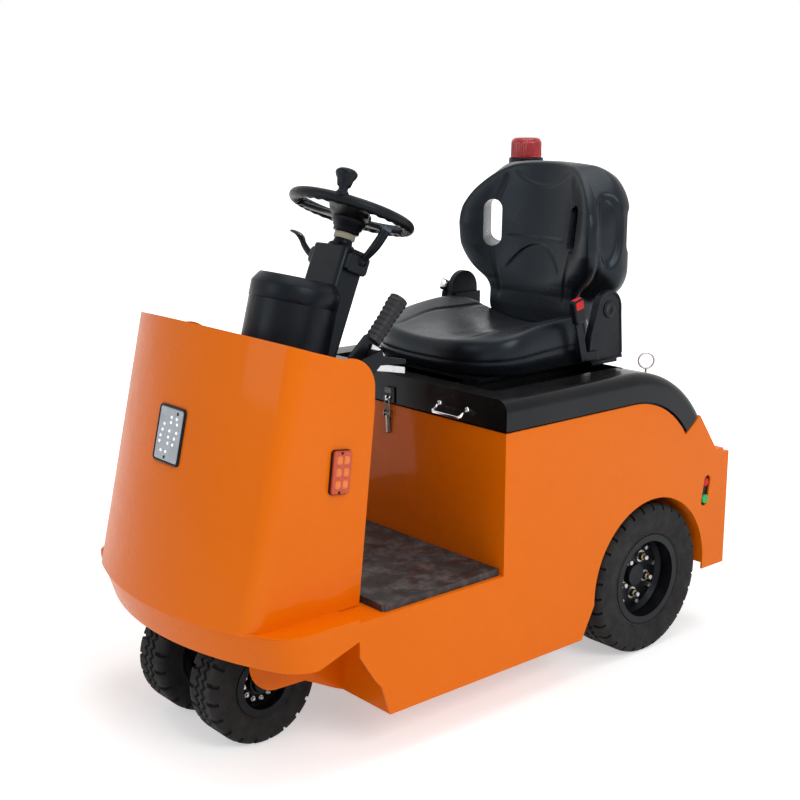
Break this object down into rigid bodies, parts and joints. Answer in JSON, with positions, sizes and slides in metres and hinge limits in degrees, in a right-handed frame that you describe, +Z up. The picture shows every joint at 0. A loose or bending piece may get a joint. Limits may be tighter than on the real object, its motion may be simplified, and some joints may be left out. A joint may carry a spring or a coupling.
{
  "type": "electric tow tractor",
  "caption": "Three-point ride-on electric tow tractor with a raked nose shield, twin steered nose wheel, hinged seat bonnet and rear tow coupling.",
  "frame": {"origin": "centre of the bounding box's base, on the ground", "axes": "+X forward towards the nose shield, +Y to the driver's left, +Z up"},
  "size_m": [1.6694, 0.768, 1.254],
  "materials": {
    "orange_paint": "gloss",
    "floor_rubber": "matt, worn",
    "black_plastic": "satin",
    "seat_vinyl": "satin",
    "zinc_steel": "satin",
    "tyre_rubber": "matt",
    "lamp_glass": "clear",
    "amber_lens": "gloss",
    "red_lens": "gloss",
    "green_button": "gloss",
    "battery_case": "matt",
    "black_iron": "satin"
  },
  "bodies": {
    "frame": {"chassis": "orange_paint", "body_shell": "orange_paint", "rear_plate": "orange_paint", "nose_shield": "orange_paint", "floor_mat": "floor_rubber", "bonnet_latch": "zinc_steel", "headlamp": "black_plastic", "headlamp_lens": "lamp_glass", "indicator_left": "amber_lens", "indicator_right": "amber_lens", "column_shroud": "black_plastic", "column_box": "black_plastic", "stalk_left": "black_plastic", "stalk_right": "black_plastic", "handbrake": "black_plastic", "handbrake_bracket": "zinc_steel", "accelerator_pedal": "floor_rubber", "brake_pedal": "floor_rubber", "beacon_pole": "black_iron", "beacon_lens": "red_lens", "drive_axle": "black_iron", "drive_motor": "black_iron", "battery": "battery_case", "hitch_jaw": "black_iron", "button_left": "green_button", "button_right": "green_button"},
    "bonnet_lid": {"bonnet": "black_plastic", "bonnet_handle": "zinc_steel", "seat_base": "black_iron", "seat_cushion": "seat_vinyl", "seat_backrest": "seat_vinyl", "seat_pivot_left": "black_plastic", "seat_pivot_right": "black_plastic", "belt_buckle": "black_plastic"},
    "rear_wheel_left": {"rear_tyre_left": "tyre_rubber", "rear_rim_left": "black_iron"},
    "rear_wheel_right": {"rear_tyre_right": "tyre_rubber", "rear_rim_right": "black_iron"},
    "bogie": {"steer_bogie": "black_iron"},
    "nose_wheels": {"nose_hub": "black_iron", "nose_tyre_left": "tyre_rubber", "nose_tyre_right": "tyre_rubber"},
    "steering": {"steering_wheel": "black_plastic", "spinner_knob": "black_plastic"},
    "tow_pin": {"hitch_pin": "zinc_steel"}
  },
  "joints": [
    {"name": "rear_wheel_left_spin", "type": "hinge", "parent": "frame", "child": "rear_wheel_left", "pos_m": [-0.369, 0.315, 0.191], "axis": [0, 1, 0], "continuous": true},
    {"name": "rear_wheel_right_spin", "type": "hinge", "parent": "frame", "child": "rear_wheel_right", "pos_m": [-0.369, -0.315, 0.191], "axis": [0, 1, 0], "continuous": true},
    {"name": "bogie_steer", "type": "hinge", "parent": "frame", "child": "bogie", "pos_m": [0.635, 0, 0.29], "axis": [0, 0, 1], "range_deg": [-75, 75]},
    {"name": "nose_wheels_spin", "type": "hinge", "parent": "bogie", "child": "nose_wheels", "pos_m": [0.635, 0, 0.135], "axis": [0, 1, 0], "continuous": true},
    {"name": "steering_wheel_turn", "type": "hinge", "parent": "frame", "child": "steering", "pos_m": [0.268, 0, 1.109], "axis": [-0.3746, 0, 0.9272], "range_deg": [-360, 360]},
    {"name": "bonnet_hinge", "type": "hinge", "parent": "frame", "child": "bonnet_lid", "pos_m": [-0.544, 0, 0.548], "axis": [0, -1, 0], "range_deg": [0, 50]},
    {"name": "tow_pin_slide", "type": "slide", "parent": "frame", "child": "tow_pin", "axis": [0, 0, 1], "range_m": [0, 0.12]}
  ],
  "couplings": [
    {"joint": "steering_wheel_turn", "follows": "bogie_steer", "ratio": 4.8}
  ]
}
